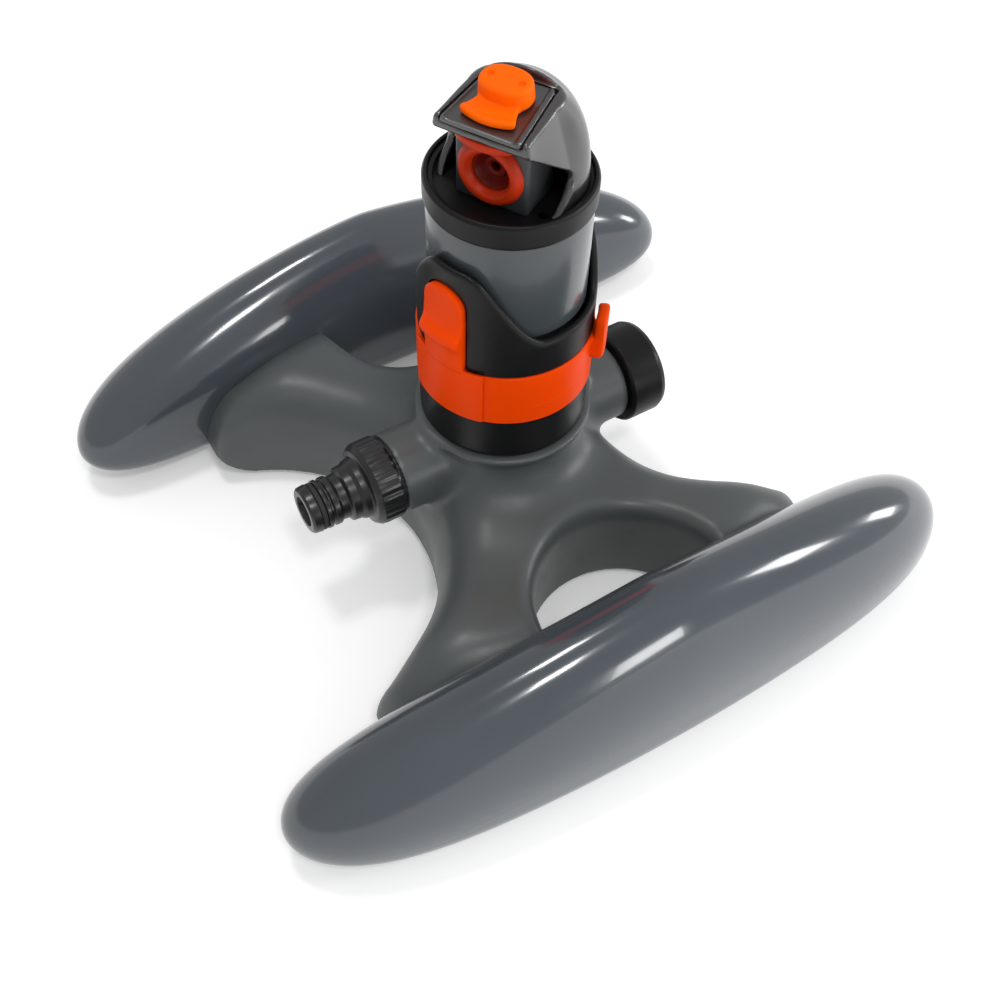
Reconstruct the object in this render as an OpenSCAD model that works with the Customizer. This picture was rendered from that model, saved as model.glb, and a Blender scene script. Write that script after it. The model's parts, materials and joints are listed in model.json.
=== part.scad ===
// Rotary lawn sprinkler: geared turret on a sled with two runners.
// Millimetres. Origin on the floor under the turret axis, hose along X, +Z up.

/* [Runners] */
// Half length of a runner, tip to middle
runner_half_len = 135; // [110:1:160]
// Distance from the turret axis to the runner's middle line
runner_offset = 96.6; // [85:0.5:115]
// How far the runner bows outward at its middle
runner_bow = 10.5; // [4:0.5:18]
// Half width of a runner at its middle
runner_half_w = 23.4; // [18:0.2:30]
// Height of a runner at its middle
runner_h = 70; // [50:1:85]
// Height of the widest line of the runner
runner_belly_z = 17; // [10:0.5:26]
// Flat inner face where the arms meet the runner
runner_land_y = 76; // [70:0.5:84]
// Wall of the runner shell
runner_wall = 2.6; // [2:0.1:4]
// Height of the closing sole
sole_h = 3; // [2:0.5:6]

/* [Hub and arms] */
// Radius of the concave side edges between the arms
arm_side_r = 70.3; // [55:0.5:85]
// Centre of the concave side edges
arm_side_x = 107.3; // [95:0.5:120]
// Half reach of the arms along the runners
arm_reach = 88; // [75:1:105]
// Radius of the round gap between the arms
gap_r = 34; // [24:0.5:40]
// Centre of the round gap across the sled
gap_y = 82; // [70:0.5:92]
// Shift of the round gap along the hose line
gap_x = 4; // [-10:0.5:15]
// Height of the hub top face
hub_top_z = 64; // [55:0.5:75]
// Radius of the hub top face
hub_top_r = 29.4; // [26:0.2:34]
// Radius of the hub waist
hub_waist_r = 27.6; // [24:0.2:32]
// Height of the arms where they meet the runners
arm_end_z = 32; // [24:0.5:44]
// Hub and arm wall
hub_wall = 3; // [2.4:0.1:4]
// Gap between the hub rim and the floor
hub_lift = 3; // [1:0.5:8]
// Length of an arm tongue inside the runner
tongue_len = 20; // [12:0.5:28]
// Half width of an arm tongue
tongue_half_w = 9; // [6:0.5:14]
// Height of an arm tongue top
tongue_top_z = 16; // [12:0.5:24]

/* [Water ports] */
// Height of the hose line
port_z = 47.3; // [40:0.5:55]
// Outer radius of a port stub
port_r = 15; // [13.5:0.1:18]
// Radius of the water bore
port_bore_r = 8; // [6:0.1:9.5]
// Shoulder of a port stub from the axis
port_shoulder = 46.6; // [42:0.2:52]
// Length of the threaded spigot
spigot_len = 9; // [7:0.2:14]
// Radius of the threaded spigot
spigot_r = 12.9; // [12:0.1:14]
// Outer radius of the adaptor nut
nut_r = 17.2; // [15:0.1:20]
// Length of the adaptor nut
nut_len = 13; // [10:0.5:18]
// Grip ribs around the nut
nut_ribs = 20; // [12:1:30]
// Tip of the hose nipple from the axis
nipple_tip = 80.5; // [72:0.5:95]
// Radius of the hose nipple
nipple_r = 8.2; // [7:0.1:9]
// Water bore of the nipple
nipple_bore_r = 5; // [4:0.1:6]
// Outer radius of the outlet cap
cap_r = 17; // [15:0.1:20]
// Closed end of the outlet cap from the axis
cap_end = 62.5; // [58:0.5:70]

/* [Seat and arc collars] */
// Radius of the seat ring
seat_r = 29.4; // [27:0.1:32]
// Height of the seat ring top
seat_top_z = 81.4; // [76:0.2:88]
// Inner radius of the seat sleeve
sleeve_in_r = 26.4; // [26:0.1:27]
// Outer radius of the seat sleeve
sleeve_r = 27.5; // [27:0.1:28.4]
// Top of the seat sleeve
sleeve_top_z = 113.4; // [108:0.2:116]
// Outer radius of the arc band
band_r = 30.1; // [28.8:0.1:32]
// Top of the arc band
band_top_z = 103.2; // [98:0.2:108]
// Outer radius of the arc shroud
shroud_r = 29.6; // [28.6:0.1:31]
// Top of the shroud humps
shroud_hump_z = 143; // [130:0.5:150]
// Top of the shroud between the humps
shroud_low_z = 117.5; // [112:0.5:126]
// Direction of the shroud hump and its tab
tab_a_az = -163.5; // [-180:0.5:-140]
// Direction of the band tab
tab_b_az = -42; // [-60:0.5:-20]
// Width of the arc tabs
tab_w = 15.6; // [10:0.2:20]

/* [Turret] */
// Outer radius of the turret body
body_r = 26.1; // [24:0.1:28]
// Outer radius of the turret skirt under the shroud
skirt_r = 24.0; // [22:0.1:25]
// Step between skirt and visible body
body_step_z = 117; // [114:0.5:122]
// Underside of the turret
turret_bottom_z = 90; // [87:0.5:96]
// Turret body wall
body_wall = 2.2; // [1.6:0.1:3.5]
// Underside of the top collar
collar_z = 154.2; // [148:0.2:160]
// Top of the top collar
collar_top_z = 162.8; // [158:0.2:168]
// Outer radius of the top collar
collar_r = 27; // [26:0.1:29]
// Outer radius of the pivot tube
pivot_r = 7; // [6:0.1:8]
// Bore of the pivot tube
pivot_bore_r = 4.8; // [3.5:0.1:5.6]
// Radius of the fixed lower part of the pivot tube
pivot_base_r = 10; // [8:0.5:12]
// Running clearance of a turning fit
run_gap = 0.05; // [0.02:0.01:0.1]

/* [Gear train] */
// Gear module
gear_m = 0.5; // [0.4:0.05:0.8]
// Teeth of a pinion
pinion_n = 10; // [8:1:14]
// Teeth of a wheel
wheel_n = 30; // [20:1:40]
// Teeth of the sun gear
sun_n = 40; // [30:1:50]
// Thickness of a gear
gear_t = 2; // [1.5:0.1:3]
// Underside of the gear train
train_z = 107; // [104:0.5:110]
// Added centre distance for backlash
backlash = 0.1; // [0:0.02:0.3]
// Direction of the first gear pin
pin_az = 200; // [0:1:360]
// Radius of a gear pin
pin_r = 1; // [0.8:0.1:1.5]
// Outer radius of the turbine
turbine_r = 15; // [12:0.5:18]
// Turbine blades
turbine_n = 12; // [8:1:20]

/* [Head] */
// Direction the nozzle faces
face_az = -150.7; // [-180:0.1:180]
// Radius of the hood dome
dome_r = 23.6; // [20:0.1:26]
// Top of the hood dome
dome_top_z = 199.6; // [190:0.2:210]
// Height of the visor front edge
visor_front_z = 187.2; // [180:0.2:195]
// Reach of the visor front edge
visor_reach = 20.6; // [16:0.2:26]
// Half width of the visor at its front edge
visor_half_w = 15.2; // [12:0.2:18]
// Slope of the visor in degrees
visor_slope = 5; // [0:0.5:15]
// Height of the nozzle axis
nozzle_z = 170.4; // [165:0.2:178]
// Outer radius of the nozzle ring
nozzle_r = 11; // [8:0.1:13]
// Reach of the nozzle front
nozzle_reach = 15.2; // [10:0.2:20]
// Travel of the range slider
slider_travel = 4; // [2:0.5:8]
// Radius of the range slider knob
knob_r = 8; // [6:0.2:10]

/* [Hidden] */
$fn = 64;
eps = 0.01;
big = 400;
steps_s = 30;
steps_t = 28;
shell_gray = [0.35, 0.39, 0.43];
satin_gray = [0.36, 0.385, 0.385];
black = [0.11, 0.11, 0.12];
orange = [0.95, 0.28, 0.02];
steel = [0.7, 0.7, 0.72];
white = [0.86, 0.86, 0.84];
rubber = [0.06, 0.06, 0.06];

// Runner section: outward offset, half width and top height at a station s in -1..1
function runner_mid(s) = runner_offset + runner_bow * (0.5 - s * s);
function runner_k(s) = sqrt(max(0.0004, 1 - pow(abs(s), 6)));
function runner_kz(s) = sqrt(max(0.0004, 1 - pow(abs(s), 1.35)));
function section_z(s, t, w) = sin(t) > 0
    ? runner_belly_z + ((runner_h - runner_belly_z) * runner_kz(s) - w) * sin(t)
    : runner_belly_z + ((runner_belly_z + 1) * runner_k(s) - w) * sin(t);
function section_y(s, t, w) =
    max(runner_mid(s) + (runner_half_w * runner_k(s) - w) * cos(t), runner_land_y + w);
function station(i, w) = (runner_half_len - w) / runner_half_len * sin(90 * (2 * i / steps_s - 1));
function runner_pts(w) = [for (i = [1 : steps_s - 1], j = [0 : steps_t - 1])
    let (s = station(i, w), t = 360 * j / steps_t)
    [s * runner_half_len, section_y(s, t, w), section_z(s, t, w)]];
function tip_pt(e, w) = [e * (runner_half_len - w), runner_mid(1), runner_belly_z];
rows = steps_s - 1;
runner_faces = concat(
    [for (i = [0 : rows - 2], j = [0 : steps_t - 1])
        [i * steps_t + j, (i + 1) * steps_t + (j + 1) % steps_t, i * steps_t + (j + 1) % steps_t]],
    [for (i = [0 : rows - 2], j = [0 : steps_t - 1])
        [i * steps_t + j, (i + 1) * steps_t + j, (i + 1) * steps_t + (j + 1) % steps_t]],
    [for (j = [0 : steps_t - 1]) [rows * steps_t, j, (j + 1) % steps_t]],
    [for (j = [0 : steps_t - 1])
        [rows * steps_t + 1, (rows - 1) * steps_t + (j + 1) % steps_t, (rows - 1) * steps_t + j]]);

spigot_end = port_shoulder + spigot_len;
gasket_t = 1.6;
hub_col_r = 19;
hub_col_z = 36;
foot_r = 17;
foot_t = 3;
foot_screw_pcr = 13.5;
seat_screw_pcr = 22.5;
spigot_down_z = 55.5;
shroud_in_r = 27.9;
band_in_r = sleeve_r + run_gap;
low_lip_z = seat_top_z + 0.3;
lug_in_r = 25.2;
lug_low_z = 93;
lug_low_h = 3;
lug_high_z = sleeve_top_z + 0.6;
lug_high_h = 2;
floor_t = 3;
head_z = collar_top_z;
sun_r = sun_n * gear_m / 2;
pin_pr = pinion_n * gear_m / 2;
wheel_pr = wheel_n * gear_m / 2;
orbit_r = sun_r + pin_pr + backlash;
step_r = pin_pr + wheel_pr + backlash;
level_h = gear_t + 0.8;
az_3 = pin_az;
az_2 = az_3 + 2 * asin(step_r / 2 / orbit_r);
az_1 = az_2 + acos((orbit_r * orbit_r + step_r * step_r - step_r * step_r) / (2 * orbit_r * step_r));
pos_3 = [orbit_r * cos(az_3), orbit_r * sin(az_3)];
pos_2 = [orbit_r * cos(az_2), orbit_r * sin(az_2)];
pos_1 = [step_r * cos(az_1), step_r * sin(az_1)];
z_sun = train_z;
z_3 = train_z + level_h;
pivot_top_z = z_3 - 0.5;
z_2 = z_3 + level_h;
z_1 = z_2 + level_h;
plate_low_z = train_z - 4;
plate_up_z = z_1 + gear_t + 0.8;
plate_t = 2.4;
crank_t = 1.4;
crank_z = plate_up_z + plate_t + 0.4;
rev_z = crank_z + crank_t + 0.4;
rev_t = 1.6;
turbine_z = rev_z + rev_t + 0.6;
turbine_h = 7;
bridge_z = turbine_z + turbine_h + 1;
bridge_t = 2.4;
shaft_r = 1.2;
shaft_bore_r = shaft_r + run_gap;
lever_az = 87;
lug_a_az = tab_a_az + 25;
lever_pin_r = 17.5;
lever_t = 3;
lever_z = turret_bottom_z - lever_t - 1;
blade_in_r = skirt_r + 0.5;
blade_out_r = skirt_r + 1.7;
blade_half_w = 1.2;
blade_top_z = body_step_z - 0.7;
crank_r = 13.5;
crank_pin_r = 0.9;
step_ledge = 1.2;
body_in_r = body_r - body_wall;
skirt_in_r = skirt_r - body_wall;
washer_t = 1;
clip_z = turret_bottom_z + floor_t + washer_t + 0.3;
clip_t = 1;
groove_r = pivot_r - 0.6;
journal_z = turret_bottom_z - 0.5;
collar_neck_r = body_r - 0.9;
collar_lip_t = 2;
head_base_t = 4;
head_base_z = collar_top_z - head_base_t - 4;
hood_z = head_base_z + head_base_t;
hood_wall = 2;
hood_base_r = dome_r - 0.3;
mouth_half_w = 12.6;
mouth_x = 1;
visor_t = 2.4;
visor_back_x = -11;
visor_back_half_w = 11.7;
knob_x = visor_reach - 22.2;
knob_h = 5.5;
tongue_t = 2;
nozzle_back = 7.2;
riser_r = 7;
riser_bore_r = 4.6;
screw_r = 1.6;
screw_head_r = 3.4;
sole_screw_x = [74, 30];
sole_screw_y = [89, 101];
sole_screw_top = 26;
head_depth = 1.8;
panel_in_r = band_r + 0.35;
panel_r = band_r + 2.1;
panel_from = -192.5;
panel_to = -134.5;
panel_low_z = 82.8;
panel_top_z = 104.4;
tab_top_z = 136;
tab_in_r = sleeve_r + 0.4;
tab_r = 31.4;
ledge_z = 110;
ledge_h = 10;
ledge_r = 34.6;
slot_clear = 0.1;
valley_az = -76;
valley_r = 24.8;
tab_b_r = 38;
tab_b_in_r = 34.8;
tab_b_low_z = 91;
tab_b_top_z = 119;
tab_b_root_h = 7;
lug_half_w = 1.3;
slot_from = tab_b_az - 35;
slot_to = tab_b_az + 59;

// Ring standing on height z
module ring(r_out, r_in, h, z) {
    translate([0, 0, z])
        difference() {
            cylinder(r = r_out, h = h);
            translate([0, 0, -eps]) cylinder(r = r_in, h = h + 2 * eps);
        }
}

// Sector of a ring between two directions
module sector(r_out, r_in, h, z, from, to) {
    translate([0, 0, z])
        rotate([0, 0, from])
            rotate_extrude(angle = to - from)
                translate([r_in, 0]) square([r_out - r_in, h]);
}

// Places children n times around the axis
module around(n, az) {
    for (i = [0 : n - 1]) rotate([0, 0, az + 360 * i / n]) children();
}

// Lathe turned onto the hose line: profile radius in x, distance from the axis in y
module along_hose(side) {
    translate([0, 0, port_z])
        rotate([0, side * 90, 0])
            rotate_extrude() children();
}

// Screw with its head underneath or on top
module screw(head_r, head_h, r, len) {
    cylinder(r = head_r, h = head_h);
    translate([0, 0, head_h - eps]) cylinder(r = r, h = len);
}

function deg(x) = x * 180 / PI;
function inv_deg(r, rb) = deg(sqrt(max(0, pow(r / rb, 2) - 1))) - acos(min(1, rb / r));
pressure = 25;
tooth_thin = 0.16;
function flank(n, r) = let (rp = n * gear_m / 2, rb = rp * cos(pressure))
    90 / n - deg(tooth_thin / 2 / rp) + inv_deg(rp, rb) - inv_deg(max(r, rb), rb);
function tooth_r(n, k) = n * gear_m / 2 + gear_m * [-1.15, -0.55, 0, 0.45, 0.85][k];
function gear_pts(n) = [for (i = [0 : n - 1], k = [0 : 9])
    let (up = k < 5, q = up ? k : 9 - k, r = tooth_r(n, q),
         a = 360 * i / n + (up ? -1 : 1) * flank(n, r))
    [r * cos(a), r * sin(a)]];

// Gear blank with a round hole and one tooth pointing in direction az
module gear(n, az, z, h, hole_r) {
    translate([0, 0, z])
        linear_extrude(h)
            difference() {
                rotate([0, 0, az]) polygon(gear_pts(n));
                circle(r = hole_r);
            }
}

// Direction from one pin to another
function dir(a, b) = atan2(b[1] - a[1], b[0] - a[0]);

// Compound gear: pinion below, wheel above, turning on its own pin
module compound(pos, z_pin, az_pin, z_wheel, az_wheel) {
    translate([pos[0], pos[1], 0]) {
        gear(pinion_n, az_pin, z_pin, level_h, pin_r + run_gap);
        gear(wheel_n, az_wheel, z_wheel, gear_t, pin_r + run_gap);
    }
}

// Plan of hub and arms, drawn in by g
module sled_plan(g) {
    difference() {
        square([2 * (arm_reach - g), 2 * (runner_land_y - g)], center = true);
        for (e = [-1, 1]) translate([e * arm_side_x, 0]) circle(r = arm_side_r + g);
        for (e = [-1, 1]) translate([gap_x, e * gap_y]) circle(r = gap_r + g);
    }
}

// Turned envelope of hub and arms, lowered by g at its low edge set by low
module sled_envelope(g, low) {
    rotate_extrude()
        polygon([[0, low], [big / 2, low], [big / 2, arm_end_z - 3 - g], [105, arm_end_z - g],
            [72, arm_end_z + 2 - g], [52, arm_end_z + 6 - g], [40 - g / 2, 43 - g / 2],
            [32.5 - g, 50], [hub_waist_r + 1 - g, 55], [hub_waist_r - g, 59],
            [hub_top_r - g, hub_top_z - g], [0, hub_top_z - g]]);
}

// Hub with port stubs, four arms and their tongues
module base_hub() {
    color(satin_gray)
    difference() {
        union() {
            difference() {
                intersection() {
                    linear_extrude(big) sled_plan(0);
                    sled_envelope(0, hub_lift);
                }
                intersection() {
                    linear_extrude(big) sled_plan(hub_wall);
                    sled_envelope(hub_wall, -1);
                }
            }
            translate([0, 0, hub_col_z]) cylinder(r = hub_col_r, h = hub_top_z - hub_col_z - 1);
            for (e = [-1, 1]) along_hose(e) translate([0, 0]) square([port_r, port_shoulder]);
            for (e = [-1, 1]) along_hose(e) square([spigot_r, spigot_end]);
            around(3, 30) translate([seat_screw_pcr, 0, hub_top_z - 13]) cylinder(r = 3.4, h = 12);
            for (e = [-1, 1], f = [-1, 1]) arm_tongue(e, f);
        }
        for (e = [-1, 1]) along_hose(e)
            translate([0, -1]) square([port_bore_r, spigot_end + 2]);
        translate([0, 0, port_z]) cylinder(r = pivot_r, h = big);
        translate([0, 0, hub_top_z - foot_t]) cylinder(r = foot_r, h = big);
        around(3, 30) translate([seat_screw_pcr, 0, hub_top_z - 11]) cylinder(r = screw_r, h = 20);
        around(3, 90) translate([foot_screw_pcr, 0, hub_top_z - 12]) cylinder(r = screw_r, h = 20);
    }
}

// Tongue that an arm pushes into its runner
module arm_tongue(e, f) {
    x = e * sole_screw_x[0];
    difference() {
        translate([x - tongue_half_w, min(f * (runner_land_y - 2), f * (runner_land_y + tongue_len)), 4])
            cube([2 * tongue_half_w, tongue_len + 2, tongue_top_z - 4]);
        translate([x - tongue_half_w + 2.4,
            min(f * (runner_land_y + 2), f * (runner_land_y + tongue_len + 1)), 3])
            cube([2 * tongue_half_w - 4.8, tongue_len - 1, tongue_top_z - 3 - 3]);
        translate([x, f * sole_screw_y[0], 0]) cylinder(r = screw_r, h = 30);
    }
}

// Solid of a runner drawn in by w
module runner_solid(w) {
    polyhedron(points = concat(runner_pts(w), [tip_pt(-1, w), tip_pt(1, w)]),
        faces = runner_faces, convexity = 4);
}

function post_top(x, y) = let (s = (x + 4) / runner_half_len,
    q = (abs(y - runner_mid(s)) + 4) / runner_half_w)
    runner_belly_z + (runner_h - runner_belly_z) * runner_kz(s) * sqrt(1 - q * q) - runner_wall / 2;

// Hollow runner, open underneath, with windows for the tongues and screw posts
module runner_shell() {
    difference() {
        union() {
            difference() {
                runner_solid(0);
                runner_solid(runner_wall);
                translate([-big / 2, 0, -10]) cube([big, big, 10 + sole_h]);
            }
            for (i = [0, 1], e = [-1, 1])
                translate([e * sole_screw_x[i], sole_screw_y[i], i == 0 ? tongue_top_z : sole_h])
                    cylinder(r = 4, h = post_top(sole_screw_x[i], sole_screw_y[i])
                        - (i == 0 ? tongue_top_z : sole_h));
        }
        for (e = [-1, 1])
            translate([e * sole_screw_x[0] - tongue_half_w, runner_land_y - 5, 4])
                cube([2 * tongue_half_w, 17, tongue_top_z - 4]);
        for (i = [0, 1], e = [-1, 1])
            translate([e * sole_screw_x[i], sole_screw_y[i], -1]) cylinder(r = screw_r, h = 31);
    }
}

module front_runner_shell() {
    color(shell_gray) mirror([0, 1, 0]) runner_shell();
}

module rear_runner_shell() {
    color(shell_gray) runner_shell();
}

// Sole that closes a runner underneath, flat where it stands
module runner_sole() {
    difference() {
        intersection() {
            runner_solid(0);
            translate([-big / 2, 0, 0]) cube([big, big, sole_h]);
        }
        for (i = [0, 1], e = [-1, 1])
            translate([e * sole_screw_x[i], sole_screw_y[i], -1]) {
                cylinder(r = screw_r, h = 10);
                cylinder(r = screw_head_r, h = 1 + head_depth);
            }
    }
}

module front_sole() {
    color(black) mirror([0, 1, 0]) runner_sole();
}

module rear_sole() {
    color(black) runner_sole();
}

module sole_screws() {
    color(steel)
    for (f = [-1, 1], i = [0, 1], e = [-1, 1])
        translate([e * sole_screw_x[i], f * sole_screw_y[i], 0.3])
            screw(screw_head_r, head_depth - 0.3, screw_r, sole_screw_top);
}

// Tap adaptor: ribbed nut and quick-connect nipple, turned about the hose line
module inlet_adaptor() {
    nut_from = port_shoulder + 0.7;
    nut_to = nut_from + nut_len;
    color(black)
    difference() {
        union() {
            along_hose(-1) polygon([[0, nut_from], [nut_r - 1.6, nut_from], [nut_r - 0.8, nut_from + 1],
                [nut_r - 0.8, nut_to - 2], [nut_r - 2.4, nut_to], [0, nut_to]]);
            translate([0, 0, port_z])
                rotate([0, -90, 0])
                    around(nut_ribs, 0)
                        translate([nut_r - 1.4, -1.2, nut_from + 1]) cube([1.4, 2.4, nut_len - 3]);
            along_hose(-1) polygon([[0, nut_to - 1], [11.4, nut_to - 1], [10.4, nut_to + 3],
                [9.6, nut_to + 3.6], [9.6, nut_to + 6], [6.6, nut_to + 6.4], [6.6, nut_to + 9.4],
                [nipple_r, nut_to + 11], [nipple_r, nipple_tip - 6], [6.3, nipple_tip - 6],
                [6.3, nipple_tip - 3.6], [nipple_r - 0.3, nipple_tip - 3.6],
                [nipple_r - 0.6, nipple_tip - 0.8], [nipple_r - 1.4, nipple_tip], [0, nipple_tip]]);
        }
        along_hose(-1) square([nipple_bore_r, big]);
        along_hose(-1) square([spigot_r, spigot_end + gasket_t + 0.8]);
    }
}

module nipple_oring() {
    color(rubber)
    along_hose(-1) translate([6.3, nipple_tip - 5.9]) square([1.8, 2.2]);
}

module inlet_gasket() {
    color(rubber)
    along_hose(-1) translate([port_bore_r, spigot_end]) square([spigot_r - port_bore_r - 0.1, gasket_t]);
}

// Filter disc: rim and a plate with round holes
module inlet_filter() {
    color(steel)
    difference() {
        along_hose(-1) translate([0, spigot_end + gasket_t]) square([spigot_r - 0.1, 0.8]);
        for (q = [[0, 1], [3.4, 6], [6.2, 12]])
            translate([-spigot_end, 0, port_z])
                rotate([0, -90, 0])
                    around(q[1], 0) translate([q[0], 0, 0]) cylinder(r = 0.9, h = 4);
    }
}

module outlet_cap() {
    from = port_shoulder + 0.7;
    color(black)
    difference() {
        along_hose(1) polygon([[0, from], [cap_r - 0.6, from], [cap_r, from + 0.8],
            [cap_r, cap_end - 2.6], [cap_r - 0.8, cap_end - 0.8], [cap_r - 2.6, cap_end], [0, cap_end]]);
        along_hose(1) square([spigot_r, spigot_end + gasket_t]);
    }
}

module cap_gasket() {
    color(rubber)
    along_hose(1) translate([0, spigot_end]) square([spigot_r - 0.1, gasket_t]);
}

// Seat ring with its sleeve and the arc slot for the band's lug
module seat_ring() {
    color(black)
    difference() {
        union() {
            ring(seat_r, foot_r + 0.2, 3, hub_top_z);
            ring(seat_r, sleeve_in_r, seat_top_z - hub_top_z, hub_top_z);
            ring(sleeve_r, sleeve_in_r, sleeve_top_z - hub_top_z, hub_top_z);
        }
        around(3, 30) translate([seat_screw_pcr, 0, hub_top_z - 1]) cylinder(r = screw_r, h = 8);
        sector(sleeve_r + 2, sleeve_in_r - 2, lug_low_h + 0.8, lug_low_z - 0.4, slot_from, slot_to);
    }
}

module seat_screws() {
    color(steel)
    around(3, 30) translate([seat_screw_pcr, 0, hub_top_z + 5]) rotate([180, 0, 0])
        screw(2.9, 2, screw_r, 12);
}

// Fixed tube that carries the turret and feeds it with water
module pivot_tube() {
    color(white)
    difference() {
        union() {
            translate([0, 0, hub_top_z - foot_t]) cylinder(r = foot_r, h = foot_t);
            translate([0, 0, hub_top_z - eps]) cylinder(r = pivot_base_r, h = journal_z - hub_top_z + eps);
            translate([0, 0, spigot_down_z]) cylinder(r = pivot_r, h = pivot_top_z - spigot_down_z);
        }
        translate([0, 0, spigot_down_z - 1]) cylinder(r = pivot_bore_r, h = big);
        ring(pivot_r + 4, groove_r, clip_t, clip_z);
        ring(pivot_r + 4, pivot_r - 1.2, 2, spigot_down_z + 2);
        around(3, 90) translate([foot_screw_pcr, 0, hub_top_z - 12]) cylinder(r = screw_r, h = 20);
    }
}

module foot_oring() {
    color(rubber)
    ring(pivot_r, pivot_r - 1.2, 2, spigot_down_z + 2);
}

module foot_screws() {
    color(steel)
    around(3, 90) translate([foot_screw_pcr, 0, hub_top_z + 1.6]) rotate([180, 0, 0])
        screw(2.6, 1.6, screw_r, 10);
}

module thrust_washer() {
    color(white)
    ring(pivot_r + 4, pivot_r + 0.4, washer_t, turret_bottom_z + floor_t);
}

// Open clip in the groove of the pivot tube
module retaining_clip() {
    color(steel)
    difference() {
        ring(pivot_r + 3, groove_r, clip_t, clip_z);
        translate([0, -3, clip_z - 1]) cube([20, 6, 4]);
    }
}

module turret_seal() {
    color(rubber)
    ring(pivot_r + 3, pivot_r + run_gap, 1.6, turret_bottom_z);
}

// Lower arc collar with its standing tab and inner lug
module arc_band() {
    color(orange) {
        ring(band_r, band_in_r, band_top_z - low_lip_z, low_lip_z);
        rotate([0, 0, tab_b_az])
            translate([lug_in_r, -lug_half_w, lug_low_z])
                cube([band_in_r + 1 - lug_in_r, 2 * lug_half_w, lug_low_h]);
        sector(tab_b_r - 1, band_r - 1, tab_b_root_h, tab_b_low_z, tab_b_az - 12, tab_b_az + 12);
        sector(tab_b_r, tab_b_in_r, tab_b_top_z - tab_b_low_z, tab_b_low_z, tab_b_az - 12, tab_b_az + 12);
    }
}

// Outline of the tab slot, w wider than the tab
module tab_shape(w, low, r_in, r_out) {
    hw = tab_w / 2 + w;
    rotate([0, 0, tab_a_az]) {
        translate([r_in, -hw, low]) cube([r_out - r_in, 2 * hw, tab_top_z - tab_w / 2 - low]);
        translate([r_in, 0, tab_top_z - tab_w / 2]) rotate([0, 90, 0]) cylinder(r = hw, h = r_out - r_in);
    }
}

// Upper arc collar: two humps and two valleys, slot for the tab, inner lug
module arc_shroud() {
    color(black)
    difference() {
        union() {
            ring(shroud_r, sleeve_r + run_gap, shroud_hump_z - band_top_z - 0.4, band_top_z + 0.4);
            ring(shroud_r - 1, body_r + 0.6, shroud_hump_z - lug_high_z, lug_high_z);
            rotate([0, 0, lug_a_az])
                translate([lug_in_r, -lug_half_w, lug_high_z])
                    cube([shroud_r - 1 - lug_in_r, 2 * lug_half_w, lug_high_h]);
        }
        translate([0, 0, shroud_low_z + valley_r])
            rotate([0, 0, valley_az])
                rotate([0, 90, 0]) translate([0, 0, -big / 2]) cylinder(r = valley_r, h = big);
        tab_shape(slot_clear, band_top_z - 1, skirt_r - 4, tab_r + 4);
    }
}

// Orange grip of the upper collar with its side panel over the band
module arc_tab() {
    color(orange)
    difference() {
        union() {
            intersection() {
                tab_shape(0, panel_top_z - 2, tab_in_r - 4, ledge_r + 4);
                ring(tab_r, tab_in_r, 60, band_top_z + 0.4);
            }
            intersection() {
                tab_shape(0, ledge_z, tab_in_r, ledge_r + 4);
                ring(ledge_r, tab_in_r + 1, ledge_h, ledge_z);
            }
            sector(panel_r, panel_in_r, panel_top_z - panel_low_z, panel_low_z, panel_from, panel_to);
        }
        translate([0, 0, ledge_z + ledge_h / 2])
            rotate([0, 0, tab_a_az])
                translate([ledge_r, 0, 0])
                    rotate([90, 0, 0]) translate([0, 0, -20]) cylinder(r = 1.2, h = 40);
    }
}

// Turning body: narrow skirt inside the collars, full width above them
module turret_body() {
    color(satin_gray)
    difference() {
        union() {
            translate([0, 0, turret_bottom_z]) cylinder(r = skirt_r, h = body_step_z - turret_bottom_z + eps);
            translate([0, 0, body_step_z]) cylinder(r = body_r, h = collar_z - body_step_z);
            translate([0, 0, collar_z - eps]) cylinder(r = collar_neck_r, h = collar_top_z - collar_lip_t - collar_z);
        }
        translate([0, 0, turret_bottom_z - 1]) cylinder(r = skirt_in_r - 1.2, h = big);
        translate([0, 0, turret_bottom_z - 1]) cylinder(r = skirt_in_r, h = floor_t + 1);
        ring(skirt_in_r, 5, plate_low_z - 2 - turret_bottom_z - floor_t - 1, turret_bottom_z + floor_t + 1);
        ring(skirt_in_r, 5, big, plate_low_z);
        translate([0, 0, body_step_z + step_ledge]) cylinder(r = body_in_r, h = big);
    }
}

module top_collar() {
    color(black)
    difference() {
        union() {
            ring(collar_r, collar_neck_r, collar_top_z - collar_lip_t - collar_z, collar_z);
            ring(collar_r, dome_r, collar_lip_t, collar_top_z - collar_lip_t);
        }
        ring(collar_r + 2, collar_r - 0.7, 1, collar_top_z - 0.9);
    }
}

module turret_floor() {
    color(white)
    difference() {
        translate([0, 0, turret_bottom_z]) cylinder(r = skirt_in_r, h = floor_t);
        translate([0, 0, turret_bottom_z - 1]) cylinder(r = pivot_r + run_gap, h = 10);
        translate([0, 0, turret_bottom_z - 1]) cylinder(r = pivot_r + 3, h = 2.6);
        rotate([0, 0, lever_az]) translate([lever_pin_r, 0, turret_bottom_z - 1]) cylinder(r = shaft_bore_r, h = 10);
    }
}

// Holes of a gear plate for pins, lever shaft and water
module plate_holes(z, pins, water_az) {
    for (p = pins) translate([p[0], p[1], z - 1]) cylinder(r = pin_r, h = 10);
    rotate([0, 0, lever_az]) translate([lever_pin_r, 0, z - 1]) cylinder(r = shaft_bore_r, h = 10);
    for (a = water_az) rotate([0, 0, a]) translate([14.5, 0, z - 1]) cylinder(r = 3.4, h = 10);
}

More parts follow.
